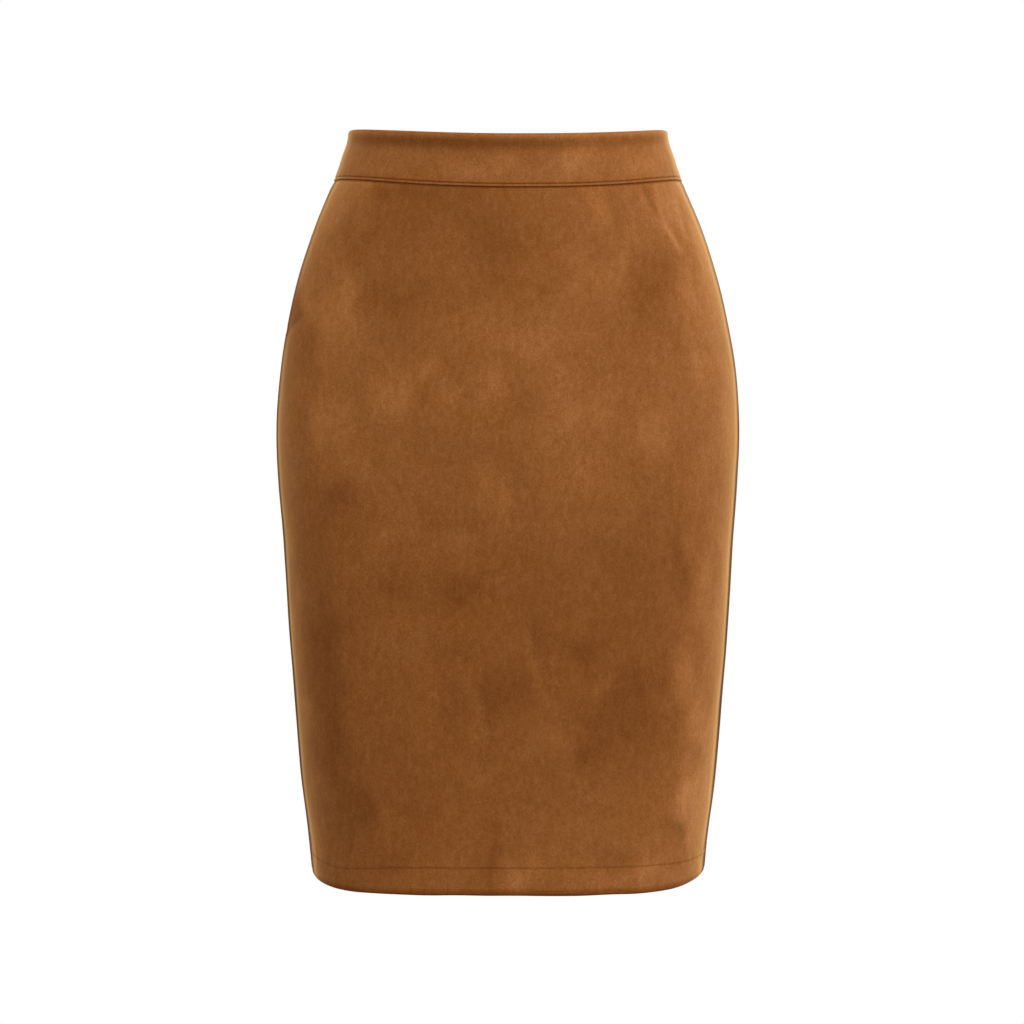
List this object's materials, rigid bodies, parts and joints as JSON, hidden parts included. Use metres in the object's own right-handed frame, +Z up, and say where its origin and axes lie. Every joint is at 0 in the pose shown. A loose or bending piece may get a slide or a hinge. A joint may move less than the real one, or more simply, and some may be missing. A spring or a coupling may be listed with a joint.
{
  "type": "pencil skirt",
  "caption": "Knee-length pencil skirt in tan suede cloth, standing hollow as worn, with a shaped waistband, a turned-up hem, a centre-back zip with a swinging pull and a back slit.",
  "frame": {"origin": "middle of the waist opening, half way up the waistband at the sides, where the wearer's waist holds the skirt", "axes": "+Z up, -Y towards the front of the skirt, +X to the right as seen from the front"},
  "size_m": [0.3604, 0.2243, 0.5811],
  "materials": {
    "suede": "soft tan suede cloth with a short brushed nap, matt, mottled lighter and darker where the nap lies differently, with sewing thread in the same tan",
    "zip_tape": "woven brown tape with a nylon coil",
    "zip_enamel": "smooth semi-gloss enamel in the colour of the tape"
  },
  "bodies": {
    "skirt": {"front_panel": "suede", "back_panel_left": "suede", "back_panel_right": "suede", "waistband": "suede", "zip_tape_left": "zip_tape", "zip_tape_right": "zip_tape", "zip_slider": "zip_enamel"},
    "pull": {"zip_pull": "zip_enamel"}
  },
  "joints": [
    {"name": "pull_hinge", "type": "hinge", "parent": "skirt", "child": "pull", "pos_m": [0, 0.08964, 0.0055], "axis": [1, 0, 0], "range_deg": [0, 150]}
  ]
}
